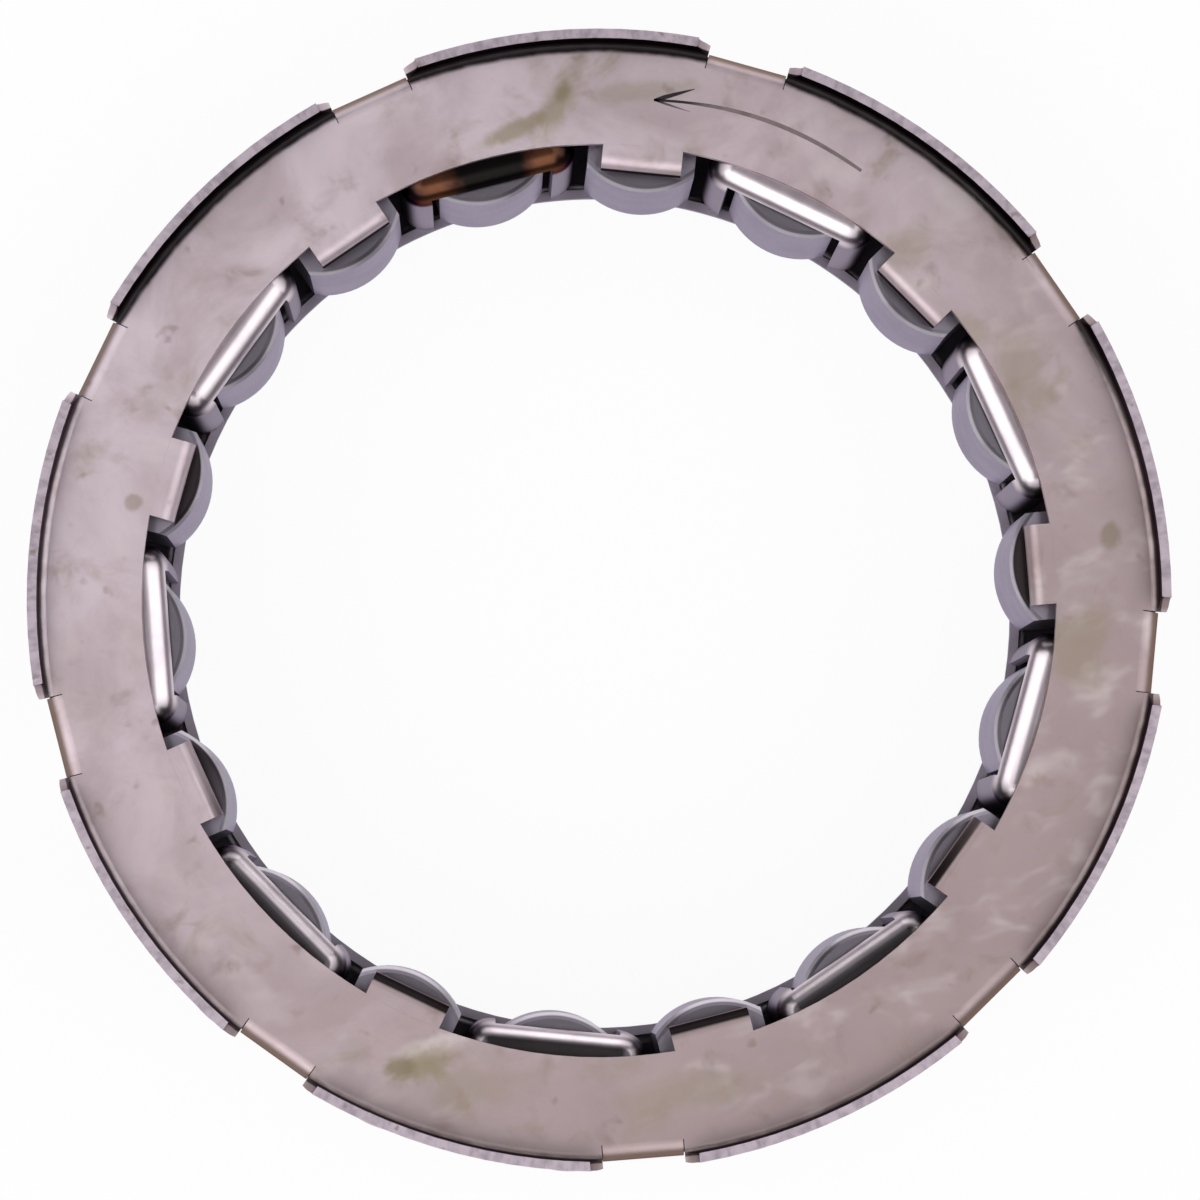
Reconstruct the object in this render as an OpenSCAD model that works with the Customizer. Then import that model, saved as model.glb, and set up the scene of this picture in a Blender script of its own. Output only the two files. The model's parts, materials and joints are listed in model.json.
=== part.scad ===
/* [Races] */
// Diameter of the inner race that runs inside the sprags
inner_race_d = 44.45; // [42:0.05:48]
// Radial space between the inner and the outer race
race_gap = 8.33; // [8.2:0.01:8.6]

/* [Flange] */
// Radial play between the raised lips and the outer race
lip_play = 0.155; // [0.05:0.005:0.4]
// Height of the lips above the flange plate
lip_h = 1.6; // [1.2:0.1:2.5]
// Width of the gap between two lips at their top edges
lip_gap = 5.8; // [5.4:0.1:7]
// Radial step from the lips in to the legs, which also sets how deep the notches are
leg_step = 0.5; // [0.3:0.05:0.8]
// Width of one leg
leg_w = 4.3; // [3:0.1:4.6]
// Width of the ledge from the cage wall out to the edge of the plate's hole
ledge_w = 1.4; // [1.2:0.05:1.7]
// Width of one short tab at the hole
tab_w = 4.3; // [3.8:0.1:4.6]
// Thickness of the sheet that both cages are pressed from
sheet_t = 0.5; // [0.4:0.05:0.55]

/* [Inner cage] */
// Radial play between the inner race and the cage wall
cage_play = 0.8; // [0.6:0.05:0.9]
// Outer bend radius of the arches
arch_bend = 1.3; // [1.1:0.05:1.4]
// Width of the window under an arch
window_w = 6.7; // [6.5:0.1:6.9]
// Width of the open slot between two arches
slot_w = 7.1; // [7:0.1:7.3]

/* [Sprags] */
// Length of a sprag along the axis
sprag_len = 10; // [7:0.5:14]
// Radius of the inner cam face
inner_cam_r = 4.4; // [4.2:0.1:4.6]
// Radius of the outer cam face
outer_cam_r = 4.4; // [4.2:0.1:4.6]
// Offset between the centres of the two cam faces
cam_offset = 0.9; // [0.6:0.1:1.1]
// Width of the inner head
inner_head_w = 5.8; // [5.4:0.1:6]
// Width of the outer head
outer_head_w = 4.8; // [4.4:0.1:5]
// Width of the waist that the ribbon spring holds
waist_w = 4.5; // [4.2:0.1:4.7]

/* [Hidden] */
$fn = 96;

// Nine units round the ring, each with one sprag under an arch and one behind a tab
units = 9;
unit_angle = 360 / units;
sprag_count = 2 * units;
sprag_pitch = unit_angle / 2;
arch_phase = 24.5;
tab_phase = arch_phase - sprag_pitch;
leg_phase = arch_phase + sprag_pitch / 2;

function two_digits(i) = str(i < 10 ? "0" : "", i);
function sprag_name(i) = str("sprag_", two_digits(i));

// Clearances: at the sprag ends, over the ribbon, inside the legs, beside a leg and at a tongue's tip
end_gap = 0.2;
rail_gap = 0.2;
floor_gap = 0.1;
leg_slit = 0.05;
tongue_gap = 0.24;
// How far a cutting shape runs past the face it cuts
over = 1;

// Heights from the feet of the legs up to the lips, past the ribbon's two rails
rail_h = 0.9;
flange_rail_h = 0.5;
floor_z = sheet_t;
floor_top = floor_z + sheet_t;
wall_top = floor_top + rail_h;
sprag_z = wall_top + end_gap;
sprag_top = sprag_z + sprag_len;
ribbon_top = sprag_top + end_gap + flange_rail_h;
plate_z = ribbon_top + rail_gap;
plate_top = plate_z + sheet_t;
lip_top = plate_top + lip_h;

// Diameters that follow the races
outer_race_d = inner_race_d + 2 * race_gap;
lip_od = outer_race_d - 2 * lip_play;
leg_od = lip_od - 2 * leg_step;
cage_bore = inner_race_d + 2 * cage_play;
plate_bore = cage_bore + 2 * ledge_w;

// Flanged cage: outer bend radii, leg foot, and the round corners and root of a notch
lip_r = lip_od / 2;
leg_r = leg_od / 2;
plate_hole_r = plate_bore / 2;
edge_bend = 0.9;
tab_bend = 0.75;
notch_r = leg_r - edge_bend;
foot_len = 1.5;
notch_corner_r = 1.6;
notch_root_w = leg_w + 2 * leg_slit;
tab_z = sprag_top + 2 * end_gap;

// Inner cage: a round ring that carries straight arches, each with two round corners and short returns
cage_r = cage_bore / 2;
floor_bend = 2 * sheet_t;
floor_r = notch_r - floor_gap;
arch_inset = 0.12;
arch_x = cage_r - arch_inset;
arch_z = plate_z - arch_bend;
corner_x = arch_x + arch_bend;
corner_y = corner_x * sin(sprag_pitch - asin(slot_w / 2 / corner_x)) - arch_bend;
arch_seat_w = 0.9;
return_w = 0.3;
return_drop = 0.4;
root_h = 0.25;
post_z = wall_top - root_h;

// Sprags: set free they stand a little taller than the race gap
sprag_preload = 0.07;
sprag_tip_r = inner_race_d / 2 - sprag_preload;
sprag_out_r = outer_race_d / 2;
inner_cam_at = sprag_tip_r + inner_cam_r;
outer_cam_at = sprag_out_r - outer_cam_r;
sprag_edge = 0.35;
waist_cut_r = 1.3;
waist_rise = 0.3;
waist_at = inner_cam_at + waist_rise;

// Ribbon spring: strip thickness, radius, bars and the tongue on each bar
ribbon_t = 0.25;
ribbon_drop = 0.35;
ribbon_r = inner_cam_at - ribbon_drop;
bar_w = 1.6;
ribbon_window_w = 2 * ribbon_r * sin(sprag_pitch / 2) - bar_w;
tongue_lean = 40;
tongue_reach = (ribbon_window_w - waist_w) / 2 - tongue_gap;
tongue_len = (tongue_reach + ribbon_t) / sin(tongue_lean);
tongue_inset = 1.75;
tongue_h = sprag_len - 2 * tongue_inset;

// Children repeated for every unit, starting at a phase angle
module per_unit(phase) {
    for (k = [0:units - 1])
        rotate([0, 0, phase + k * unit_angle])
            children();
}

// Outline in the tangent plane, pushed outward along +X from one radius to another
module radial_prism(from_r, to_r) {
    translate([from_r, 0, 0])
        rotate([90, 0, 90])
            linear_extrude(height = to_r - from_r)
                children();
}

// Profile in the radial plane, made into a straight strip across +X
module bent_strip(w) {
    translate([0, w / 2, 0])
        rotate([90, 0, 0])
            linear_extrude(height = w)
                children();
}

// Quarter disc: centre, radius and the two signs of its quadrant
module quarter(centre, r, sx, sz) {
    translate(centre)
        intersection() {
            circle(r);
            translate([min(0, sx * r), min(0, sz * r)])
                square(r);
        }
}

// Quarter bend of sheet with the outer radius given
module bend(centre, r, sx, sz) {
    difference() {
        quarter(centre, r, sx, sz);
        translate(centre)
            circle(r - sheet_t);
    }
}

// Flange profile: flat plate from the hole out, its edge turned up into a lip
module flange_profile() {
    translate([plate_hole_r, plate_z])
        square([lip_r - edge_bend - plate_hole_r, sheet_t]);
    bend([lip_r - edge_bend, plate_z + edge_bend], edge_bend, 1, -1);
    translate([lip_r - sheet_t, plate_z + edge_bend])
        square([sheet_t, lip_top - plate_z - edge_bend]);
}

// Notch outline: a gap between two lips with round bottom corners, and its narrower root
module notch_outline() {
    bottom = plate_z + sheet_t / 2;
    corner = lip_gap / 2 - notch_corner_r;
    translate([-lip_gap / 2, bottom + notch_corner_r])
        square([lip_gap, lip_top - bottom]);
    translate([-corner, bottom])
        square([2 * corner, lip_top - bottom]);
    for (side = [-1, 1])
        translate([side * corner, bottom + notch_corner_r])
            circle(notch_corner_r);
    translate([-notch_root_w / 2, plate_z - over])
        square([notch_root_w, sheet_t + 2 * over]);
}

// Leg profile: the plate edge turns down between two sprags and folds in under the cage floor
module leg_profile() {
    translate([notch_r - edge_bend, plate_z])
        square([edge_bend, sheet_t]);
    bend([notch_r, plate_top - edge_bend], edge_bend, 1, 1);
    translate([leg_r - sheet_t, edge_bend])
        square([sheet_t, plate_top - 2 * edge_bend]);
    bend([notch_r, edge_bend], edge_bend, 1, -1);
    translate([notch_r - foot_len, 0])
        square([foot_len, sheet_t]);
}

// Tab profile: the plate edge turns down in front of a sprag end and stops above it
module tab_profile() {
    translate([cage_r + tab_bend, plate_z])
        square([plate_hole_r - cage_r, sheet_t]);
    bend([cage_r + tab_bend, plate_top - tab_bend], tab_bend, -1, 1);
    translate([cage_r, tab_z])
        square([sheet_t, plate_top - tab_bend - tab_z]);
}

// Flange plate with nine lips, nine legs and nine tabs, pressed from one sheet
module flanged_cage() {
    color([0.68, 0.63, 0.64])
        union() {
            difference() {
                rotate_extrude()
                    flange_profile();
                per_unit(leg_phase)
                    radial_prism(notch_r, lip_r + over)
                        notch_outline();
            }
            per_unit(leg_phase)
                bent_strip(leg_w)
                    leg_profile();
            per_unit(tab_phase)
                bent_strip(tab_w)
                    tab_profile();
        }
}

// Floor of the inner cage and the plain ring above it
module cage_base() {
    bend([cage_r + floor_bend, floor_z + floor_bend], floor_bend, -1, -1);
    translate([cage_r + floor_bend, floor_z])
        square([floor_r - cage_r - floor_bend, sheet_t]);
    translate([cage_r, floor_z + floor_bend])
        square([sheet_t, wall_top - floor_z - floor_bend]);
}

// Half section of an arch's edge: an upright side that rolls over the top with radius r
module roll(r, low) {
    translate([0, low])
        square([r, arch_z - low]);
    quarter([0, arch_z], r, 1, 1);
}

// Filled form of an arch and its two posts along +X, its faces set in by t and its seat seat_w wide
module arch_form(t, seat_w, low) {
    r = arch_bend - t;
    for (side = [0, 1])
        mirror([0, side, 0])
            translate([corner_x, corner_y, 0]) {
                rotate([90, 0, 0])
                    linear_extrude(height = corner_y + over) {
                        mirror([1, 0])
                            roll(r, low);
                        translate([0, low])
                            square([seat_w, arch_z + r - low]);
                    }
                rotate([0, 0, 90])
                    rotate_extrude(angle = 90)
                        roll(r, low);
                rotate([90, 0, 90])
                    linear_extrude(height = seat_w)
                        roll(r, low);
            }
}

// Arch pressed from sheet: hollow behind, with a window and returns cut short below its roll
module arch() {
    low = post_z - over;
    difference() {
        arch_form(0, arch_seat_w, post_z);
        arch_form(sheet_t, arch_seat_w + over, low);
        translate([arch_x - over, -window_w / 2, low])
            cube([2 * over, window_w, sprag_top + end_gap - low]);
        translate([corner_x + return_w, -corner_y - arch_bend - over, low])
            cube([arch_seat_w, 2 * (corner_y + arch_bend + over), arch_z - return_drop - low]);
    }
}

// Inner cage: a drawn ring with a floor below and nine rounded arches above
module inner_cage() {
    color([0.86, 0.84, 0.85])
        union() {
            rotate_extrude()
                cage_base();
            per_unit(arch_phase)
                arch();
        }
}

// Tongue of the ribbon, leaning from a bar towards the sprag beside it
module tongue() {
    translate([ribbon_r + ribbon_t / 2, ribbon_t - bar_w / 2, sprag_z + tongue_inset])
        rotate([0, 0, -tongue_lean])
            translate([0, -ribbon_t / 2, 0])
                cube([tongue_len, ribbon_t, tongue_h]);
}

// Ribbon spring: a thin strip with a window for every sprag and a sprung bar between them
module ribbon_spring() {
    color([0.72, 0.72, 0.75])
        union() {
            difference() {
                rotate_extrude()
                    translate([ribbon_r, floor_top])
                        square([ribbon_t, ribbon_top - floor_top]);
                for (i = [0:sprag_count - 1])
                    rotate([0, 0, tab_phase + i * sprag_pitch])
                        translate([ribbon_r - over, -ribbon_window_w / 2, wall_top])
                            cube([2 * over + ribbon_t, ribbon_window_w, sprag_top + end_gap - wall_top]);
            }
            for (i = [0:sprag_count - 1])
                rotate([0, 0, leg_phase + i * sprag_pitch])
                    tongue();
        }
}

// Round cam on an axis at radius at, with its two end edges broken
module cam(r, at) {
    translate([at, 0, 0])
        rotate_extrude()
            polygon([
                [0, sprag_z],
                [r - sprag_edge, sprag_z],
                [r, sprag_z + sprag_edge],
                [r, sprag_top - sprag_edge],
                [r - sprag_edge, sprag_top],
                [0, sprag_top]
            ]);
}

// Half of a sprag between two radii: a cam cut to the width of its head
module sprag_head(w, from_r, to_r) {
    intersection() {
        children();
        translate([from_r, -w / 2, sprag_z - over])
            cube([to_r - from_r, w, sprag_len + 2 * over]);
    }
}

// One sprag along +X, its cam centres offset across the radius and its waist hollowed on both sides
module sprag() {
    difference() {
        union() {
            sprag_head(inner_head_w, sprag_tip_r - over, waist_at)
                cam(inner_cam_r, inner_cam_at);
            sprag_head(outer_head_w, waist_at - over, sprag_out_r + over)
                translate([0, cam_offset, 0])
                    cam(outer_cam_r, outer_cam_at);
        }
        for (side = [-1, 1])
            translate([waist_at, side * (waist_w / 2 + waist_cut_r), sprag_z - over])
                cylinder(r = waist_cut_r, h = sprag_len + 2 * over);
    }
}

// Sprag number i in its place round the ring
module sprag_at(i) {
    color([0.62, 0.6, 0.66])
        rotate([0, 0, tab_phase + (i - 1) * sprag_pitch])
            sprag();
}

flanged_cage();
inner_cage();
ribbon_spring();
for (i = [1:sprag_count])
    sprag_at(i);
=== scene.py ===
"""Looks of a flanged sprag one-way clutch bearing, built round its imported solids.

Lengths in the classes are in millimetres and angles in degrees, counted counter-clockwise from the
right of the photograph. Blender works in metres.
"""

import json
import logging
import math
from dataclasses import dataclass, field
from enum import Enum
from typing import Any

import bmesh
import bpy
from mathutils import Matrix, Vector


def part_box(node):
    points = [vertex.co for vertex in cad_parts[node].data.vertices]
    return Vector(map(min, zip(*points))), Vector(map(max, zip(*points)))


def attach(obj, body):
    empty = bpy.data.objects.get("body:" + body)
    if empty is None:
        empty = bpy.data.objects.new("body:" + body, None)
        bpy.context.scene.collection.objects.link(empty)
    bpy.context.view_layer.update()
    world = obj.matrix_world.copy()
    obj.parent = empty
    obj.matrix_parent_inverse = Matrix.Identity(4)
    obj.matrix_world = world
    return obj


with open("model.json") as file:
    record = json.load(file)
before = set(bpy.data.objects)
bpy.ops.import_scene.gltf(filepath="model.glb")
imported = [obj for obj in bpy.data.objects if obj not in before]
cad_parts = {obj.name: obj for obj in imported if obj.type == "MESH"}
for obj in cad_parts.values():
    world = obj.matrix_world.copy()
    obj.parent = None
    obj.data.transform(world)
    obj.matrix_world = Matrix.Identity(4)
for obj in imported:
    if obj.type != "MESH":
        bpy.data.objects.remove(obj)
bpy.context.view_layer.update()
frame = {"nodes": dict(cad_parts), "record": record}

MM = 0.001
PER_METRE = 1000.0
LOG = logging.getLogger("clutch")

# Y in millimetres between which the lower side of the ring begins
LOWER_FADE = (-15.0, -6.0)

Colour = tuple[float, float, float, float]
Point = tuple[float, float]
# Middle, half sizes, direction and strength of one stain
Stain = tuple[Point, Point, float, float]


class Slot(Enum):
    """Material slots of the record."""

    FLANGE = "flange_steel"
    CAGE = "cage_steel"
    SPRING = "spring_steel"
    SPRAG = "sprag_steel"


def linear(code: str) -> Colour:
    """Turns an sRGB hex colour into linear light.

    Args:
        code: six hex digits, with or without a leading hash.

    Returns:
        Red, green, blue and an alpha of one.
    """
    digits = code.lstrip("#")
    parts = [int(digits[i:i + 2], 16) / 255 for i in (0, 2, 4)]
    red, green, blue = (c / 12.92 if c <= 0.04045 else ((c + 0.055) / 1.055) ** 2.4 for c in parts)
    return red, green, blue, 1.0


def add(tree: bpy.types.NodeTree, kind: str, links: dict[Any, Any] | None = None, **settings: Any) -> Any:
    """Adds one node with its settings, socket values and links.

    Args:
        tree: node tree that gets the node.
        kind: Blender's name of the node type.
        links: input name or index to a source socket, or to a plain value.
        settings: properties of the node itself.

    Returns:
        The new node.
    """
    node = tree.nodes.new(kind)
    for name, value in settings.items():
        setattr(node, name, value)
    for name, value in (links or {}).items():
        if isinstance(value, bpy.types.NodeSocket):
            tree.links.new(value, node.inputs[name])
        else:
            node.inputs[name].default_value = value
    return node


def new_material(name: str) -> tuple[bpy.types.Material, bpy.types.NodeTree, Any]:
    """Makes an empty node material with a principled shader on its output.

    Args:
        name: name of the finish.

    Returns:
        The material, its tree and the shader.
    """
    material = bpy.data.materials.new(name)
    material.use_nodes = True
    tree = material.node_tree
    tree.nodes.clear()
    shader = add(tree, "ShaderNodeBsdfPrincipled")
    add(tree, "ShaderNodeOutputMaterial", {"Surface": shader.outputs["BSDF"]})
    return material, tree, shader


def make_metal(shader: Any, edge_tint: str) -> None:
    """Makes a shader bare metal.

    Args:
        shader: principled shader.
        edge_tint: sRGB hex colour of its reflection at a glancing angle.
    """
    shader.inputs["Metallic"].default_value = 1.0
    shader.inputs["Specular Tint"].default_value = linear(edge_tint)


def flange_height() -> float:
    """Returns the height of the flange plate's face in millimetres, from the record's mount."""
    mounts = {mount["name"]: mount for mount in frame["record"]["mounts"]}
    return mounts["flange_face"]["pos_m"][2] * PER_METRE


def lip_height() -> float:
    """Returns the height of the lips' top edges in millimetres."""
    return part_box("flanged_cage")[1].z * PER_METRE


def lip_radius() -> float:
    """Returns the radius over the lips in millimetres."""
    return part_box("flanged_cage")[1].x * PER_METRE


class Pattern:
    """Position on the part in millimetres, and the masks and patterns drawn from it."""

    def __init__(self, tree: bpy.types.NodeTree) -> None:
        """Reads the part's own coordinates and works out height, radius and angle from them.

        Args:
            tree: node tree of the material.
        """
        self.tree = tree
        coords = add(tree, "ShaderNodeTexCoord")
        scaled = add(tree, "ShaderNodeVectorMath", {0: coords.outputs["Object"], "Scale": PER_METRE},
                     operation="SCALE")
        self.place = scaled.outputs["Vector"]
        axes = add(tree, "ShaderNodeSeparateXYZ", {"Vector": self.place})
        self.x, self.y, self.z = (axes.outputs[name] for name in "XYZ")
        self.r = self.math("SQRT", self.math("ADD", self.math("MULTIPLY", self.x, self.x),
                                             self.math("MULTIPLY", self.y, self.y)))
        self.angle = self.math("ARCTAN2", self.y, self.x)
        normal = add(tree, "ShaderNodeSeparateXYZ", {"Vector": coords.outputs["Normal"]})
        self.up = normal.outputs["Z"]

    def math(self, operation: str, first: Any, second: Any = 0.0, third: Any = 0.0) -> Any:
        """Returns the result of one sum on two or three numbers or sockets."""
        node = add(self.tree, "ShaderNodeMath", {0: first, 1: second, 2: third}, operation=operation)
        return node.outputs["Value"]

    def ramp(self, value: Any, start: float, end: float, low: float = 0.0, high: float = 1.0) -> Any:
        """Fades smoothly from one value to another.

        Args:
            value: socket to read.
            start: reading at which the fade begins.
            end: reading at which it ends.
            low: result before the fade.
            high: result after it.

        Returns:
            The faded value.
        """
        node = add(self.tree, "ShaderNodeMapRange",
                   {"Value": value, "From Min": start, "From Max": end, "To Min": low, "To Max": high},
                   interpolation_type="SMOOTHSTEP")
        return node.outputs["Result"]

    def noise(self, size_mm: float, detail: float = 3.0, roughness: float = 0.55, warp: float = 0.0,
              place: Any = None) -> Any:
        """Draws soft random patches.

        Args:
            size_mm: size of one patch.
            detail: how many finer layers it has.
            roughness: strength of the finer layers.
            warp: how far the patches are pulled out of shape.
            place: coordinates in millimetres, the part's own if left out.

        Returns:
            The pattern, from 0 to 1.
        """
        node = add(self.tree, "ShaderNodeTexNoise",
                   {"Vector": place or self.place, "Scale": 1.0 / size_mm, "Detail": detail,
                    "Roughness": roughness, "Distortion": warp})
        return node.outputs["Fac"]

    def stretched(self, size: tuple[float, float, float], turn: float = 0.0, place: Any = None) -> Any:
        """Squeezes the coordinates, so that a pattern on them turns into streaks.

        Args:
            size: size of one streak in millimetres, in the three directions.
            turn: direction of its length in degrees.
            place: coordinates in millimetres, the part's own if left out.

        Returns:
            Coordinates counted in streaks.
        """
        node = add(self.tree, "ShaderNodeMapping",
                   {"Vector": place or self.place, "Rotation": (0, 0, math.radians(turn)),
                    "Scale": size}, vector_type="TEXTURE")
        return node.outputs["Vector"]

    def around(self, radius_mm: float) -> Any:
        """Unrolls the ring at one radius: millimetres along it, outward and up."""
        along = self.math("MULTIPLY", self.angle, radius_mm)
        node = add(self.tree, "ShaderNodeCombineXYZ", {"X": along, "Y": self.r, "Z": self.z})
        return node.outputs["Vector"]

    def away_from_every(self, first: float, step: float) -> Any:
        """Measures how far a point is from the nearest of a set of equal directions.

        Args:
            first: one of the directions in degrees.
            step: angle from one to the next.

        Returns:
            The angle in radians, from 0 to half a step.
        """
        turned = self.math("SUBTRACT", self.angle, math.radians(first - step / 2))
        inside = self.math("FLOORED_MODULO", turned, math.radians(step))
        return self.math("ABSOLUTE", self.math("SUBTRACT", inside, math.radians(step / 2)))

    def all_of(self, *masks: Any) -> Any:
        """Joins masks.

        Args:
            masks: masks from 0 to 1.

        Returns:
            Their product, which is 1 only where every one of them is 1.
        """
        product = masks[0]
        for mask in masks[1:]:
            product = self.math("MULTIPLY", product, mask)
        return product

    def lower_side(self) -> Any:
        """Returns 1 on the lower side of the ring in the photograph, and 0 elsewhere."""
        return self.ramp(self.y, *LOWER_FADE, 1.0, 0.0)

    def spot(self, centre: Point, reach: Point, turn: float, ragged: Any, soft: float = 0.45) -> Any:
        """Marks one ragged oval patch on the flat of the part, at any height.

        Args:
            centre: its middle in millimetres.
            reach: its half length and half width.
            turn: direction of its length in degrees.
            ragged: noise that frays its outline.
            soft: width of its fading edge, as a share of its size.

        Returns:
            1 inside the patch and 0 outside.
        """
        any_height, fray = 1000.0, 2.4
        node = add(self.tree, "ShaderNodeMapping",
                   {"Vector": self.place, "Location": (*centre, 0), "Rotation": (0, 0, math.radians(turn)),
                    "Scale": (*reach, any_height)}, vector_type="TEXTURE")
        length = add(self.tree, "ShaderNodeVectorMath", {0: node.outputs["Vector"]}, operation="LENGTH")
        frayed = self.math("MULTIPLY_ADD", self.math("SUBTRACT", ragged, 0.5), fray,
                           length.outputs["Value"])
        return self.ramp(frayed, 1.0 - soft, 1.0 + soft, 1.0, 0.0)

    def mix(self, share: Any, first: Any, second: Any) -> Any:
        """Mixes two colours.

        Args:
            share: how much of the second colour shows.
            first: colour or socket under it.
            second: colour or socket on top.

        Returns:
            The mixed colour.
        """
        node = add(self.tree, "ShaderNodeMix", {"Factor": share, 6: first, 7: second}, data_type="RGBA")
        return node.outputs[2]

    def film(self, colour: Any, mask: Any, share: Any, code: str) -> Any:
        """Lays a film over a colour.

        Args:
            colour: colour or socket under it.
            mask: 1 where the film lies.
            share: how much it hides there.
            code: sRGB hex colour of the film.

        Returns:
            The colour with the film on it.
        """
        return self.mix(self.math("MULTIPLY", mask, share), colour, linear(code))

    def bump(self, height: Any, depth_mm: float, below: Any = None) -> Any:
        """Raises the surface by a pattern.

        Args:
            height: pattern from 0 to 1.
            depth_mm: height of the pattern.
            below: normal of a coarser bump under this one.

        Returns:
            The bent normal.
        """
        links = {"Height": height, "Distance": depth_mm * MM, "Strength": 1.0}
        if below is not None:
            links["Normal"] = below
        return add(self.tree, "ShaderNodeBump", links).outputs["Normal"]


@dataclass(frozen=True)
class TumbledSheetSteel:
    """Cold-rolled sheet, pressed and then tumbled in stone: matte, pinkish grey, with a light film of oil.

    Tumbling leaves no grain, so the eye sees soft clouds, thin oil stains and faint short scuffs. The
    sheared top edges of the lips stay paler and finely torn, and the bends behind them are dark with die
    oil and painted shade. The tabs' folds carry painted dark reflection, and painted light makes the plate
    lighter towards the upper left and the right.
    """

    name: str = "tumbled_sheet_steel"
    taupe: str = "aa9899"
    lilac: str = "d3c4cc"
    cloud: str = "a29092"
    oil: str = "978a72"
    oil_deep: str = "7d7052"
    brown: str = "826c5c"
    sheared: str = "beb1bb"
    torn: str = "9d919b"
    pale: str = "d2c6c6"
    # near black: die oil with painted shade in the lip bends, and painted dark reflection on the tab folds
    painted_shade_and_die_oil: str = "080606"
    edge_tint: str = "a79ea6"
    roughness: float = 0.5
    bend: float = 0.9
    sheet_t: float = 0.5
    tab_fold_r: float = 24.0

    def material(self) -> bpy.types.Material:
        """Returns the finished material."""
        material, tree, shader = new_material(self.name)
        p = Pattern(tree)
        colour = self.sheet_colour(p, p.noise(2.6, 4, 0.6, 0.4))
        colour = p.mix(self.on_sheared_edge(p), colour, self.edge_colour(p))
        # painted shade in the lip bends, partly die oil
        bend_oil_and_shade = self.lip_bend_oil_and_shade(p)
        colour = p.film(colour, bend_oil_and_shade, 0.97, self.painted_shade_and_die_oil)
        # the leg shoulders are darkened brown
        colour = p.film(colour, self.on_leg_bend(p), 0.8, self.brown)
        # painted dark reflection on the tab folds; which part is dark depends on where the tab sits
        colour = p.film(colour, self.painted_tab_fold_reflection(p), 0.95, self.painted_shade_and_die_oil)
        tree.links.new(colour, shader.inputs["Base Color"])
        rough = p.math("MULTIPLY_ADD", p.noise(3.4, 3), 0.14, self.roughness - 0.07)
        tree.links.new(p.math("MULTIPLY_ADD", bend_oil_and_shade, -0.14, rough), shader.inputs["Roughness"])
        grit = p.bump(p.noise(0.26, 2, 0.6), 0.0035)
        dents = p.bump(p.noise(2.2, 2, 0.5), 0.014, grit)
        tree.links.new(p.bump(self.scuffs(p), 0.0016, dents), shader.inputs["Normal"])
        make_metal(shader, self.edge_tint)
        return material

    def on_sheared_edge(self, p: Pattern) -> Any:
        """Marks the flat tops of the lips.

        Args:
            p: patterns of the material.

        Returns:
            1 on the tops and 0 elsewhere.
        """
        return p.ramp(p.z, lip_height() - 0.04, lip_height() - 0.01)

    def edge_colour(self, p: Pattern) -> Any:
        """Draws the torn lines that shearing leaves across an edge.

        Args:
            p: patterns of the material.

        Returns:
            The colour of the lips' tops.
        """
        across = p.stretched((0.5, 0.9, 1.0), 0.0, p.around(lip_radius()))
        tears = p.ramp(p.noise(1.0, 3, 0.6, 0.0, across), 0.35, 0.75)
        colour = p.mix(tears, linear(self.sheared), linear(self.torn))
        return p.film(colour, p.ramp(p.noise(0.7, 2, 0.5), 0.66, 0.76), 0.6, self.brown)

    def lip_bend_oil_and_shade(self, p: Pattern) -> Any:
        """Marks the hollow between the plate and a lip: dried die oil with painted shade, wider and darker
        towards the upper side.

        Args:
            p: patterns of the material.

        Returns:
            1 in the hollow and 0 elsewhere.
        """
        start, inside = lip_radius() - self.bend, lip_radius() - self.sheet_t
        plate, top = flange_height(), lip_height()
        # painted shade: the dark band is narrower and lighter towards the lower side of the ring
        wiped = p.ramp(p.y, 6.0, 18.0, 1.0, 0.0)
        ragged = p.math("MULTIPLY_ADD", p.noise(1.7, 3, 0.6), 0.24, -0.12)
        reach = p.math("SUBTRACT", p.math("ADD", p.r, ragged), p.math("MULTIPLY", wiped, 0.3))
        return p.all_of(p.ramp(reach, start - 0.26, start + 0.04),
                        p.ramp(p.r, inside + 0.08, inside + 0.16, 1.0, 0.0),
                        p.ramp(p.z, top - 0.06, top - 0.02, 1.0, 0.0),
                        p.ramp(p.z, plate - 0.06, plate - 0.03),
                        p.ramp(wiped, 0.0, 1.0, 1.0, 0.85))

    def on_leg_bend(self, p: Pattern) -> Any:
        """Marks the shoulders of the legs, where the sheet turns down; the brown film darkens them.

        Args:
            p: patterns of the material.

        Returns:
            1 on the shoulders and 0 elsewhere.
        """
        plate = flange_height()
        return p.all_of(p.ramp(p.r, lip_radius() - 2 * self.bend, lip_radius() - 1.5 * self.bend),
                        p.ramp(p.z, plate - 0.3, plate - 0.06, 1.0, 0.0),
                        p.ramp(p.z, plate - 1.6, plate - 0.8))

    def painted_tab_fold_reflection(self, p: Pattern) -> Any:
        """Marks painted dark reflection on the tabs: over the folds of the lower ones, under those of the
        upper.

        Args:
            p: patterns of the material.

        Returns:
            1 on the painted reflection and 0 elsewhere.
        """
        at_hole = p.ramp(p.r, self.tab_fold_r, self.tab_fold_r + 0.2, 1.0, 0.0)
        fold = p.all_of(p.ramp(p.up, 0.15, 0.35), p.ramp(p.up, 0.88, 0.97, 1.0, 0.0), p.lower_side())
        face = p.all_of(p.ramp(p.up, -0.4, -0.2), p.ramp(p.up, 0.3, 0.5, 1.0, 0.0),
                        p.ramp(p.y, 8.0, 14.0))
        return p.all_of(at_hole, p.math("MAXIMUM", fold, face))

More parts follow.
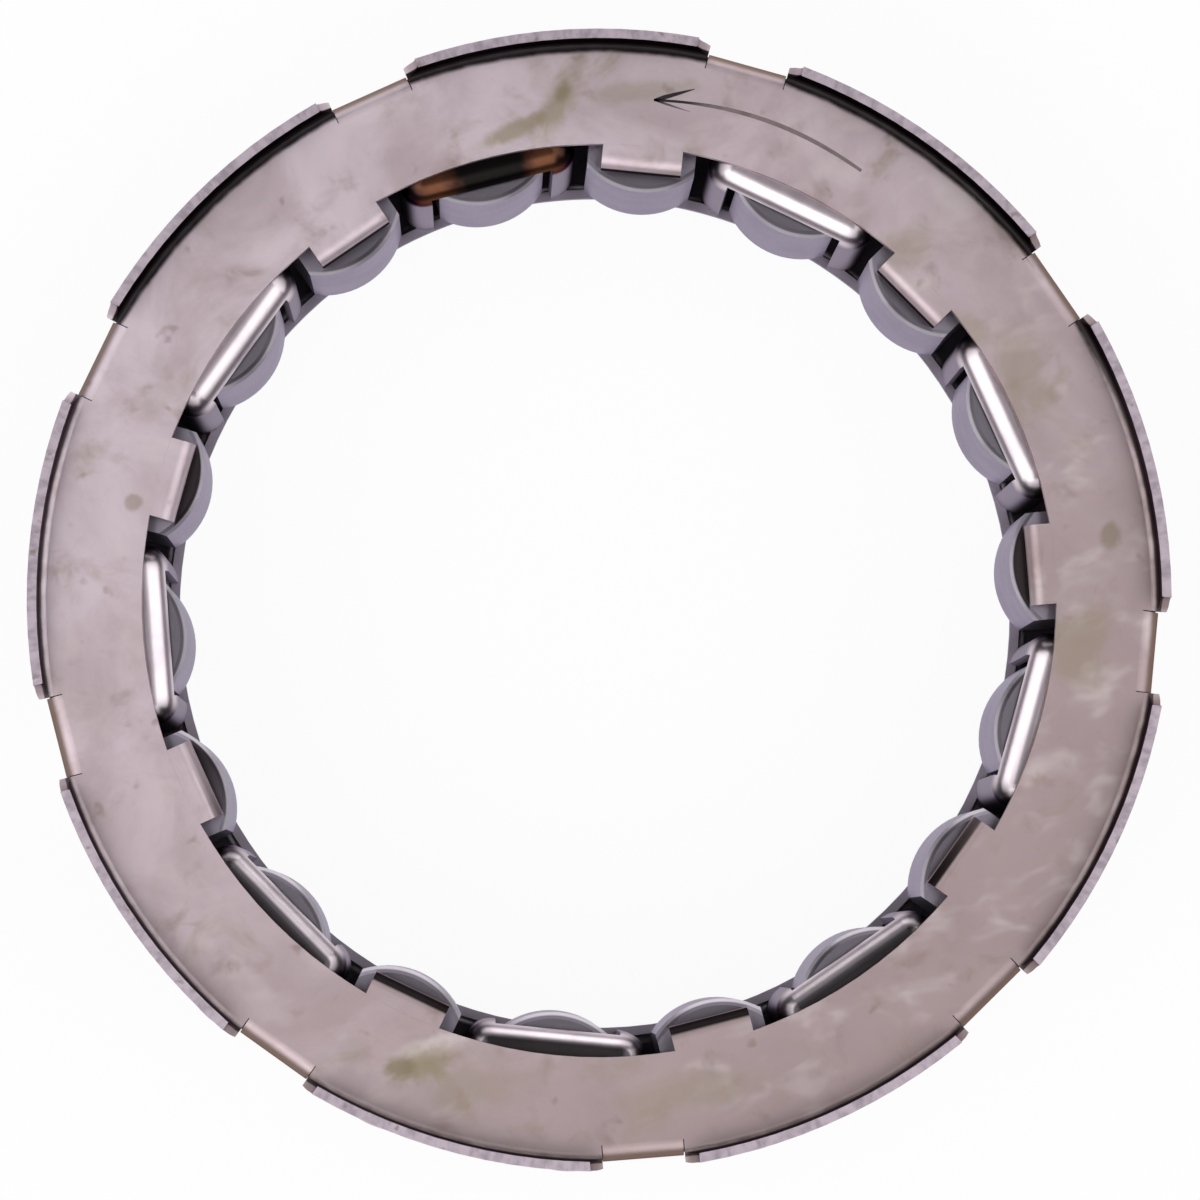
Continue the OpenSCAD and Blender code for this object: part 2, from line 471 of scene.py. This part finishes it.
    def sheet_colour(self, p: Pattern, frayed: Any) -> Any:
        """Mixes the clouds, stains and spots of the sheet, with painted light that makes it lighter
        towards the upper left and the right.

        Args:
            p: patterns of the material.
            frayed: noise that frays the stains.

        Returns:
            The colour of the sheet away from its edges and bends.
        """
        # painted light: the plate turns from taupe at the lower right to lilac at the upper left
        side = p.ramp(p.math("SUBTRACT", p.y, p.math("MULTIPLY", p.x, 0.9)), -40.0, 42.0)
        colour = p.mix(side, linear(self.taupe), linear(self.lilac))
        clouds = p.ramp(p.noise(6.5, 5, 0.6, 0.6), 0.36, 0.7)
        colour = p.film(colour, clouds, 0.55, self.cloud)
        wiped = p.noise(1.0, 2, 0.5, 0.3, p.stretched((2.8, 1.7, 1.0), 18.0))
        # painted light: the pale wipe streaks are stronger towards the right
        wipe_share_and_painted_light = p.ramp(p.x, -6.0, 24.0, 0.28, 0.55)
        colour = p.film(colour, p.ramp(wiped, 0.5, 0.8), wipe_share_and_painted_light, self.pale)
        smudges = p.ramp(p.noise(2.3, 3, 0.55, 0.4), 0.55, 0.78)
        colour = p.film(colour, smudges, 0.4, self.brown)
        blots = p.ramp(p.noise(4.5, 4, 0.62, 0.8), 0.56, 0.76)
        colour = p.film(colour, blots, 0.45, self.oil)
        layers = ((self.rims(), self.pale), (self.stains(), self.oil), (self.deep_stains(), self.oil_deep))
        for spots, code in layers:
            for centre, reach, turn, share in spots:
                colour = p.film(colour, p.spot(centre, reach, turn, frayed), share, code)
        specks = p.ramp(p.noise(1.5, 2, 0.5), 0.66, 0.78)
        return p.film(colour, specks, 0.45, self.brown)

    def stains(self) -> list[Stain]:
        """Returns the thin oil stains."""
        return [
            ((-2.1, 26.8), (2.2, 0.8), 60.0, 0.72),
            ((-4.5, 25.2), (1.8, 0.5), 25.0, 0.72),
            ((2.0, 27.2), (2.6, 0.6), 5.0, 0.4),
            ((25.9, -2.2), (1.6, 2.0), 0.0, 0.5),
            ((-9.4, -24.8), (1.6, 1.0), 28.0, 0.75),
            ((-6.5, -25.9), (2.6, 1.2), 10.0, 0.35),
            ((4.5, -26.3), (3.4, 0.9), 8.0, 0.35),
            ((22.6, 12.2), (1.3, 2.2), 20.0, 0.35),
            ((16.5, 18.8), (1.5, 1.0), 40.0, 0.4),
            ((19.8, 14.6), (1.4, 0.7), -30.0, 0.4),
        ]

    def deep_stains(self) -> list[Stain]:
        """Returns the darker cores of the oil stains."""
        return [
            ((-2.0, 27.2), (0.7, 0.45), 70.0, 0.45),
            ((-10.4, -25.0), (0.8, 0.6), 0.0, 0.6),
            ((27.3, 3.4), (0.45, 0.6), 0.0, 0.5),
            ((-24.9, 5.1), (0.4, 0.4), 0.0, 0.45),
        ]

    def rims(self) -> list[Stain]:
        """Returns the pale rims that the oil left as it dried."""
        return [
            ((-2.4, 25.9), (1.9, 0.45), 52.0, 0.7),
            ((-5.2, 24.7), (1.3, 0.4), 20.0, 0.7),
            ((-9.0, -23.9), (1.7, 0.6), 20.0, 0.75),
            ((23.4, -1.4), (0.5, 2.0), 0.0, 0.5),
        ]

    def scuffs(self, p: Pattern) -> Any:
        """Draws short straight scuffs in two directions.

        Args:
            p: patterns of the material.

        Returns:
            The scuffs as a height.
        """
        first = p.ramp(p.noise(1.0, 1, 0.5, 0.0, p.stretched((2.4, 0.14, 1.0), 25.0)), 0.68, 0.78)
        second = p.ramp(p.noise(1.0, 1, 0.5, 0.0, p.stretched((1.7, 0.12, 1.0), 118.0)), 0.7, 0.8)
        return p.math("MAXIMUM", first, second)


@dataclass(frozen=True)
class BrightDrawnSteel:
    """Deep-drawn sheet steel: the die burnishes its bends to a soft mirror and leaves the wall satin.

    The eye sees blurred lights and dark gaps on the round arches, lavender grey posts with faint lines
    along the ring, and a brown varnish of burnt oil near the ends of one arch. Painted shade darkens the
    wall's outside, the arches' corners and the lower arches' crests, and painted dark reflection the rest
    of the varnished arch.
    """

    name: str = "bright_drawn_steel"
    bright: str = "e2d6dc"
    dull: str = "c4b8bf"
    wall: str = "b0a8b3"
    varnish: str = "5f3b28"
    # painted dark reflection, near black
    painted_dark_reflection: str = "0a0706"
    # painted shade, near black
    painted_shade_dark: str = "1b171b"
    edge_tint: str = "aaa2b0"
    varnish_angle: float = 104.5
    arch_step: float = 40.0
    mirror_roughness: float = 0.34
    wall_roughness: float = 0.42
    burnished_depth: float = 1.9
    burnished_fade: float = 0.6
    drawing_line: float = 0.16
    wall_r: float = 23.2

    def material(self) -> bpy.types.Material:
        """Returns the finished material."""
        material, tree, shader = new_material(self.name)
        p = Pattern(tree)
        along = p.stretched((14.0, 1.0, 1.0), 0.0, p.around(self.wall_r))
        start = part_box("inner_cage")[1].z * PER_METRE - self.burnished_depth
        burnished = p.ramp(p.z, start, start + self.burnished_fade)
        lines = p.all_of(p.noise(self.drawing_line, 2, 0.5, 0.0, along),
                         p.ramp(p.z, start - self.burnished_fade, start, 1.0, 0.05))
        patches = p.ramp(p.noise(2.4, 3, 0.55, 0.3), 0.4, 0.7)
        mirror = p.film(linear(self.bright), patches, 0.6, self.dull)
        colour = p.mix(burnished, linear(self.wall), self.varnish_and_painted_reflection(p, mirror))
        # painted shade behind the wall, in the arches' corners and on the lower arches' crests
        colour = p.film(colour, self.painted_shade_marks(p, burnished), 0.9, self.painted_shade_dark)
        tree.links.new(colour, shader.inputs["Base Color"])
        rough = p.ramp(burnished, 0.0, 1.0, self.wall_roughness, self.mirror_roughness)
        rough = p.math("MULTIPLY_ADD", lines, 0.1, p.math("SUBTRACT", rough, 0.05))
        tree.links.new(rough, shader.inputs["Roughness"])
        tree.links.new(p.bump(lines, 0.0006), shader.inputs["Normal"])
        make_metal(shader, self.edge_tint)
        return material

    def painted_shade_marks(self, p: Pattern, burnished: Any) -> Any:
        """Marks painted shade: behind the wall, in the arches' corners and, as painted dark reflection, on
        the lower arches' crests.

        Args:
            p: patterns of the material.
            burnished: 1 on the arches.

        Returns:
            1 on the painted shade and 0 elsewhere.
        """
        behind = p.all_of(p.ramp(p.r, self.wall_r + 0.2, self.wall_r + 0.9),
                          p.math("SUBTRACT", 1.0, burnished))
        corners = p.all_of(p.ramp(p.away_from_every(self.varnish_angle, self.arch_step), 0.135, 0.185),
                           p.ramp(p.r, self.wall_r - 0.1, self.wall_r + 0.5))
        # painted dark reflection on the crests of the lower arches
        crest = p.all_of(p.ramp(p.up, 0.88, 0.96), p.lower_side())
        on_arch = p.all_of(p.math("MAXIMUM", corners, crest), burnished)
        return p.math("MAXIMUM", behind, on_arch)

    def varnish_and_painted_reflection(self, p: Pattern, colour: Any) -> Any:
        """Lays a brown film of burnt oil near both ends of one arch, and painted dark reflection over the
        rest of it.

        Args:
            p: patterns of the material.
            colour: colour of the clean steel.

        Returns:
            The colour with the film.
        """
        away = p.math("ABSOLUTE", p.math("SUBTRACT", p.angle, math.radians(self.varnish_angle)))
        film = p.ramp(away, 0.19, 0.23, 1.0, 0.0)
        frayed = p.math("MULTIPLY_ADD", p.noise(1.3, 3, 0.6), 0.08, away)
        burnt = p.all_of(p.ramp(frayed, 0.1, 0.16), p.ramp(away, 0.165, 0.195, 1.0, 0.15))
        # painted dark reflection over the arch, with brown burnt oil near its ends
        shade = p.mix(burnt, linear(self.painted_dark_reflection), linear(self.varnish))
        return p.mix(p.math("MULTIPLY", film, 0.99), colour, shade)


@dataclass(frozen=True)
class GroundBearingSteel:
    """Hardened chrome steel, barrel-polished after grinding: satin lavender grey with fine axial lines."""

    name: str = "ground_bearing_steel"
    lavender: str = "b5aebd"
    shade: str = "9a93a3"
    # painted shade: the flat ends are darker than the sides; painted light beside the tabs and painted
    # shade inward of them at both sides
    end: str = "857f89"
    painted_light_end_by_tab: str = "aba4b2"
    painted_end_shade: str = "453e41"
    # painted highlight on the chamfers
    painted_chamfer_highlight: str = "e4dee6"
    edge_tint: str = "b9b2c0"
    tab_angle: float = 4.5
    tab_step: float = 40.0
    tab_face_r: float = 23.05
    rim_fade: float = 0.13
    roughness: float = 0.34
    grinding_line: float = 0.12

    def material(self) -> bpy.types.Material:
        """Returns the finished material."""
        material, tree, shader = new_material(self.name)
        p = Pattern(tree)
        lines = p.noise(self.grinding_line, 2, 0.5, 0.0, p.stretched((1.0, 1.0, 12.0)))
        patches = p.ramp(p.noise(2.6, 3, 0.55, 0.3), 0.35, 0.7)
        colour = p.film(linear(self.lavender), patches, 0.4, self.shade)
        # painted highlight: faces turned up, the chamfers, are painted near white
        colour = p.mix(p.ramp(p.up, 0.4, 0.6), colour, linear(self.painted_chamfer_highlight))
        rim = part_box("sprag_01")[1].z * PER_METRE - self.rim_fade
        # painted light and shade on the flat ends
        colour = p.mix(p.ramp(p.z, rim - 0.1, rim), colour, self.end_light_and_shade(p))
        tree.links.new(colour, shader.inputs["Base Color"])
        rough = p.math("MULTIPLY_ADD", lines, 0.12, self.roughness - 0.06)
        tree.links.new(rough, shader.inputs["Roughness"])
        tree.links.new(p.bump(lines, 0.001), shader.inputs["Normal"])
        make_metal(shader, self.edge_tint)
        return material

    def end_light_and_shade(self, p: Pattern) -> Any:
        """Draws painted light and shade on the flat ends: lighter beside a tab, painted shade inward of
        the tabs at both sides, darker elsewhere.

        Args:
            p: patterns of the material.

        Returns:
            The colour of the ends.
        """
        by_tab = p.ramp(p.away_from_every(self.tab_angle, self.tab_step), 0.17, 0.2, 1.0, 0.0)
        before = p.ramp(p.r, self.tab_face_r, self.tab_face_r + 0.15, 1.0, 0.0)
        # painted shade inward of the tabs at both sides of the ring
        oil = p.all_of(before, p.ramp(p.math("ABSOLUTE", p.y), 8.0, 13.0, 1.0, 0.0))
        bare = p.mix(before, linear(self.painted_light_end_by_tab), linear(self.end))
        return p.mix(by_tab, linear(self.end), p.mix(oil, bare, linear(self.painted_end_shade)))


@dataclass(frozen=True)
class RolledSpringStrip:
    """Cold-rolled stainless spring strip: satin, a little warm, with rolling lines along the strip."""

    name: str = "rolled_spring_strip"
    satin: str = "938f93"
    dull: str = "6b686e"
    roughness: float = 0.32
    rolling_line: float = 0.14
    strip_r: float = 26.3

    def material(self) -> bpy.types.Material:
        """Returns the finished material."""
        material, tree, shader = new_material(self.name)
        p = Pattern(tree)
        along = p.stretched((20.0, 20.0, 1.0), 0.0, p.around(self.strip_r))
        lines = p.noise(self.rolling_line, 2, 0.5, 0.0, along)
        colour = p.mix(p.ramp(lines, 0.3, 0.7), linear(self.satin), linear(self.dull))
        tree.links.new(colour, shader.inputs["Base Color"])
        rough = p.math("MULTIPLY_ADD", lines, 0.14, self.roughness - 0.07)
        tree.links.new(rough, shader.inputs["Roughness"])
        shader.inputs["Metallic"].default_value = 1.0
        return material


@dataclass(frozen=True)
class EtchedMark:
    """Electro-etched line in bare steel: dark, rough oxide that thins out away from the arrow's head."""

    name: str = "etched_steel_mark"
    oxide: str = "2c2426"
    worn: str = "7a6c6f"
    roughness: float = 0.6
    head_angle: float = 80.5
    worn_angle: float = 76.5
    line_r: float = 26.95

    def material(self) -> bpy.types.Material:
        """Returns the finished material."""
        material, tree, shader = new_material(self.name)
        p = Pattern(tree)
        head = p.ramp(p.angle, math.radians(self.worn_angle), math.radians(self.head_angle), 1.0, 0.0)
        head = p.math("MAXIMUM", head, p.ramp(p.r, self.line_r - 0.22, self.line_r, 0.9, 0.0))
        wear = p.all_of(head, p.ramp(p.noise(0.9, 3, 0.6), 0.3, 0.6, 0.7, 1.0))
        tree.links.new(p.mix(wear, linear(self.oxide), linear(self.worn)), shader.inputs["Base Color"])
        shader.inputs["Metallic"].default_value = 0.6
        shader.inputs["Roughness"].default_value = self.roughness
        return material


@dataclass(frozen=True)
class SlitShadeFilm:
    """Painted shade for the slits: a brown-black film, dark, with a dull sheen that breaks up in patches.
    """

    name: str = "painted_slit_shade_film"
    dark: str = "1a1512"
    brown: str = "3a2c22"
    roughness: float = 0.55

    def material(self) -> bpy.types.Material:
        """Returns the finished material."""
        material, tree, shader = new_material(self.name)
        p = Pattern(tree)
        patches = p.noise(0.8, 2, 0.5)
        colour = p.mix(p.ramp(patches, 0.4, 0.7), linear(self.dark), linear(self.brown))
        tree.links.new(colour, shader.inputs["Base Color"])
        rough = p.math("MULTIPLY_ADD", patches, 0.2, self.roughness - 0.1)
        tree.links.new(rough, shader.inputs["Roughness"])
        return material


def put_on(node: str, material: bpy.types.Material) -> None:
    """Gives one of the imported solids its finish.

    Args:
        node: name of the solid.
        material: its finish.
    """
    mesh = frame["nodes"][node].data
    mesh.materials.clear()
    mesh.materials.append(material)
    LOG.info("%s wears %s", node, material.name)


def finish_piece(name: str, mesh: bmesh.types.BMesh, material: bpy.types.Material) -> bpy.types.Object:
    """Turns a mesh into a piece that rides on the cage.

    Args:
        name: name of the piece.
        mesh: its mesh in metres, which is used up.
        material: its finish.

    Returns:
        The new piece.
    """
    data = bpy.data.meshes.new(name)
    mesh.to_mesh(data)
    mesh.free()
    data.materials.append(material)
    piece = bpy.data.objects.new(name, data)
    bpy.context.scene.collection.objects.link(piece)
    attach(piece, "cage")
    LOG.info("%s built, %d faces", name, len(data.polygons))
    return piece


@dataclass
class DirectionArrow:
    """Thin curved arrow etched on the flange plate, which shows the direction of drive."""

    radius: float = 26.95
    swell: float = 0.27
    tail_angle: float = 58.6
    tip_angle: float = 83.8
    line_w: float = 0.24
    tip_w: float = 0.14
    barbs: tuple[tuple[float, float, float], ...] = ((2.28, 18.4, 0.24), (2.05, -14.9, 0.12))
    proud: float = 0.008
    sunk: float = 0.05
    steps: int = 48

    def outline(self, spine: list[Vector], widths: list[float]) -> list[Vector]:
        """Widens a line into an outline.

        Args:
            spine: points along the line.
            widths: full width at each point.

        Returns:
            Points round the line, counter-clockwise.
        """
        left, right = [], []
        for i, point in enumerate(spine):
            ahead = spine[min(i + 1, len(spine) - 1)] - spine[max(i - 1, 0)]
            across = Vector((-ahead.y, ahead.x, 0)).normalized() * widths[i] / 2
            left.append(point + across)
            right.append(point - across)
        return right + left[::-1]

    def stroke(self, mesh: bmesh.types.BMesh, spine: list[Vector], widths: list[float]) -> None:
        """Adds one closed stroke, let into the plate.

        Args:
            mesh: mesh that gets the stroke.
            spine: points along it in millimetres.
            widths: full width at each point.
        """
        count = len(spine)
        outline = self.outline(spine, widths)
        heights = (flange_height() - self.sunk, flange_height() + self.proud)
        low, high = [[mesh.verts.new(Vector((q.x, q.y, z)) * MM) for q in outline] for z in heights]
        total = 2 * count
        for i in range(total):
            j = (i + 1) % total
            mesh.faces.new((low[i], low[j], high[j], high[i]))
        for i in range(count - 1):
            a, b, c, d = i, i + 1, total - 2 - i, total - 1 - i
            mesh.faces.new((high[a], high[b], high[c], high[d]))
            mesh.faces.new((low[d], low[c], low[b], low[a]))

    def shaft(self) -> tuple[list[Vector], list[float]]:
        """Returns the points and widths of the curved shaft."""
        points, widths = [], []
        for i in range(self.steps + 1):
            share = i / self.steps
            angle = math.radians(self.tail_angle + (self.tip_angle - self.tail_angle) * share)
            radius = self.radius + self.swell * math.sin(math.pi * share)
            points.append(Vector((radius * math.cos(angle), radius * math.sin(angle), 0)))
            fullness = math.sin(math.pi * min(share * 1.15 + 0.04, 1.0)) ** 0.6
            widths.append(self.tip_w + (self.line_w - self.tip_w) * max(fullness, 0.0))
        return points, widths

    def build(self, material: bpy.types.Material) -> bpy.types.Object:
        """Builds the arrow and lets it ride on the cage.

        Args:
            material: finish of the mark.

        Returns:
            The new piece.
        """
        mesh = bmesh.new()
        points, widths = self.shaft()
        self.stroke(mesh, points, widths)
        tip = points[-1]
        back = (points[-4] - tip).normalized()
        for length, turn, width in self.barbs:
            along = Matrix.Rotation(math.radians(turn), 3, "Z") @ back
            spine = [tip + along * length * share for share in (0.0, 0.25, 0.5, 0.75, 1.0)]
            self.stroke(mesh, spine, [width * share for share in (0.5, 1.0, 0.85, 0.55, 0.15)])
        bmesh.ops.recalc_face_normals(mesh, faces=mesh.faces)
        return finish_piece("direction_arrow", mesh, material)


@dataclass
class PaintedSlitShade:
    """Painted shade: a dark fill in the narrow slits on both sides of every leg."""

    legs: int = 9
    first_leg: float = 34.5
    leg_w: float = 4.3
    slit_w: float = 0.05
    inside_r: float = 28.98
    outside_r: float = 29.7
    below: float = 0.45
    depth: float = 0.3

    def build(self, material: bpy.types.Material) -> bpy.types.Object:
        """Fills the slits below the face of the plate with painted shade and lets it ride on the cage.

        Args:
            material: look of the painted shade.

        Returns:
            The new piece.
        """
        mesh = bmesh.new()
        middle = Vector(((self.inside_r + self.outside_r) / 2, (self.leg_w + self.slit_w) / 2,
                         flange_height() - self.below - self.depth / 2))
        size = Vector((self.outside_r - self.inside_r, self.slit_w, self.depth))
        for leg in range(self.legs):
            turn = Matrix.Rotation(math.radians(self.first_leg + leg * 360 / self.legs), 4, "Z")
            for side in (-1, 1):
                place = Matrix.Translation(Vector((middle.x, side * middle.y, middle.z)) * MM)
                bmesh.ops.create_cube(mesh, matrix=turn @ place @ Matrix.Diagonal((*(size * MM), 1)))
        return finish_piece("painted_slit_shade", mesh, material)


@dataclass
class FlangedCage:
    """Pressed flange plate with its lips, legs and tabs, the mark etched on it and painted shade in its
    slits.
    """

    node: str = "flanged_cage"
    sheet: TumbledSheetSteel = field(default_factory=TumbledSheetSteel)
    mark: EtchedMark = field(default_factory=EtchedMark)
    arrow: DirectionArrow = field(default_factory=DirectionArrow)
    # painted shade that fills the slits
    dried: SlitShadeFilm = field(default_factory=SlitShadeFilm)
    painted_slit_shade: PaintedSlitShade = field(default_factory=PaintedSlitShade)

    def build(self) -> None:
        """Dresses the sheet, etches the arrow and fills the slits with painted shade."""
        put_on(self.node, self.sheet.material())
        self.arrow.build(self.mark.material())
        self.painted_slit_shade.build(self.dried.material())


@dataclass
class InnerCage:
    """Drawn ring with nine arches."""

    node: str = "inner_cage"
    finish: BrightDrawnSteel = field(default_factory=BrightDrawnSteel)

    def build(self) -> None:
        """Dresses the ring."""
        put_on(self.node, self.finish.material())


@dataclass
class RibbonSpring:
    """Thin strip that pushes the sprags up."""

    node: str = "ribbon_spring"
    finish: RolledSpringStrip = field(default_factory=RolledSpringStrip)

    def build(self) -> None:
        """Dresses the strip."""
        put_on(self.node, self.finish.material())


@dataclass
class SpragSet:
    """Eighteen cams that stand between the races."""

    count: int = 18
    finish: GroundBearingSteel = field(default_factory=GroundBearingSteel)

    def build(self) -> None:
        """Dresses every sprag."""
        steel = self.finish.material()
        for number in range(1, self.count + 1):
            put_on(f"sprag_{number:02d}", steel)


@dataclass(frozen=True)
class SoftBox:
    """One soft lamp: its direction, height above the floor plane, distance, size and power."""

    name: str
    toward: float
    elevation: float
    distance: float
    width: float
    height: float
    power: float
    colour: str = "ffffff"

    def build(self, aim: Vector) -> None:
        """Hangs the lamp and turns it to a point.

        Args:
            aim: point in millimetres that it faces.
        """
        lamp = bpy.data.lights.new(self.name, "AREA")
        lamp.shape = "RECTANGLE"
        lamp.size = self.width * MM
        lamp.size_y = self.height * MM
        lamp.energy = self.power
        lamp.color = linear(self.colour)[:3]
        thing = bpy.data.objects.new(self.name, lamp)
        bpy.context.scene.collection.objects.link(thing)
        up, side = math.radians(self.elevation), math.radians(self.toward)
        way = Vector((math.cos(up) * math.cos(side), math.cos(up) * math.sin(side), math.sin(up)))
        thing.location = (aim + way * self.distance) * MM
        thing.rotation_euler = way.to_track_quat("Z", "Y").to_euler()


@dataclass
class Studio:
    """White table, soft lamps and a dim room."""

    aim: Vector = field(default_factory=lambda: Vector((0, 0, 10)))
    floor_size: float = 4000.0
    floor_drop: float = 0.02
    floor_white: str = "ffffff"
    floor_pale: str = "e9e7e8"
    room: str = "d9d6dc"
    room_strength: float = 0.04
    glow: float = 0.93
    shade_in: float = 23.1
    shade_out: float = 30.6
    shade_fade: float = 1.2
    lamps: tuple[SoftBox, ...] = (
        SoftBox("front_box", 262.0, 42.0, 520.0, 640.0, 440.0, 1.7),
        SoftBox("left_box", 184.0, 46.0, 520.0, 640.0, 640.0, 2.2),
        SoftBox("right_box", 4.0, 46.0, 520.0, 640.0, 640.0, 2.1),
        SoftBox("back_box", 84.0, 16.0, 520.0, 760.0, 280.0, 1.2),
    )

    def build(self) -> None:
        """Lays the floor, sets the room's light and hangs the lamps."""
        self.lay_floor()
        self.light_room()
        for lamp in self.lamps:
            lamp.build(self.aim)

    def lay_floor(self) -> None:
        """Lays a pale floor that looks white, with a faint shadow and no glow right under the ring."""
        half = self.floor_size / 2 * MM
        height = -self.floor_drop * MM
        data = bpy.data.meshes.new("table")
        signs = ((-1, -1), (1, -1), (1, 1), (-1, 1))
        data.from_pydata([(x * half, y * half, height) for x, y in signs], [], [(0, 1, 2, 3)])
        floor = bpy.data.objects.new("table", data)
        bpy.context.scene.collection.objects.link(floor)
        material = bpy.data.materials.new("white_table")
        material.use_nodes = True
        tree = material.node_tree
        tree.nodes.clear()
        pale = add(tree, "ShaderNodeBsdfDiffuse", {"Color": linear(self.floor_pale)})
        white = add(tree, "ShaderNodeEmission", {"Color": linear(self.floor_white), "Strength": 1.0})
        rays = add(tree, "ShaderNodeLightPath")
        p = Pattern(tree)
        seen = rays.outputs["Is Camera Ray"]
        for other in ("Is Glossy Ray", "Is Transmission Ray"):
            seen = p.math("MAXIMUM", seen, rays.outputs[other])
        within = p.ramp(p.r, self.shade_in, self.shade_in + self.shade_fade, 1.0, 0.0)
        beyond = p.ramp(p.r, self.shade_out - self.shade_fade, self.shade_out)
        share = p.all_of(seen, self.glow, p.math("MAXIMUM", within, beyond))
        surface = add(tree, "ShaderNodeMixShader", {0: share, 1: pale.outputs[0], 2: white.outputs[0]})
        add(tree, "ShaderNodeOutputMaterial", {"Surface": surface.outputs[0]})
        data.materials.append(material)

    def light_room(self) -> None:
        """Fills the room with an even dim light."""
        world = bpy.data.worlds.new("studio_room")
        bpy.context.scene.world = world
        world.use_nodes = True
        tree = world.node_tree
        tree.nodes.clear()
        back = add(tree, "ShaderNodeBackground",
                   {"Color": linear(self.room), "Strength": self.room_strength})
        add(tree, "ShaderNodeOutputWorld", {"Surface": back.outputs[0]})


@dataclass
class PhotoCamera:
    """Camera held above the flange, a little to the lower left of the axis."""

    distance: float = 300.0
    tilt: float = 3.73
    toward: float = 251.5
    frame_w: float = 63.7
    aim_x: float = -0.02
    aim_y: float = -0.19
    sensor: float = 36.0

    def build(self) -> None:
        """Places the camera and makes it the scene's own."""
        lens = bpy.data.cameras.new("photo_camera")
        lens.sensor_width = self.sensor
        lens.lens = self.sensor * self.distance / self.frame_w
        camera = bpy.data.objects.new("photo_camera", lens)
        bpy.context.scene.collection.objects.link(camera)
        lean, side = math.radians(self.tilt), math.radians(self.toward)
        back = Vector((math.sin(lean) * math.cos(side), math.sin(lean) * math.sin(side), math.cos(lean)))
        right = Vector((0, 1, 0)).cross(back).normalized()
        up = back.cross(right)
        spot = (Vector((self.aim_x, self.aim_y, lip_height())) + back * self.distance) * MM
        turn = Matrix((right, up, back)).transposed().to_4x4()
        camera.matrix_world = Matrix.Translation(spot) @ turn
        bpy.context.scene.camera = camera


def main() -> None:
    """Builds the studio and dresses every piece."""
    logging.basicConfig(level=logging.INFO, format="%(message)s")
    bpy.context.scene.view_settings.view_transform = "Standard"
    for part in (PhotoCamera(), Studio(), FlangedCage(), InnerCage(), RibbonSpring(), SpragSet()):
        part.build()
        LOG.info("%s done", type(part).__name__)


if __name__ == "__main__":
    main()
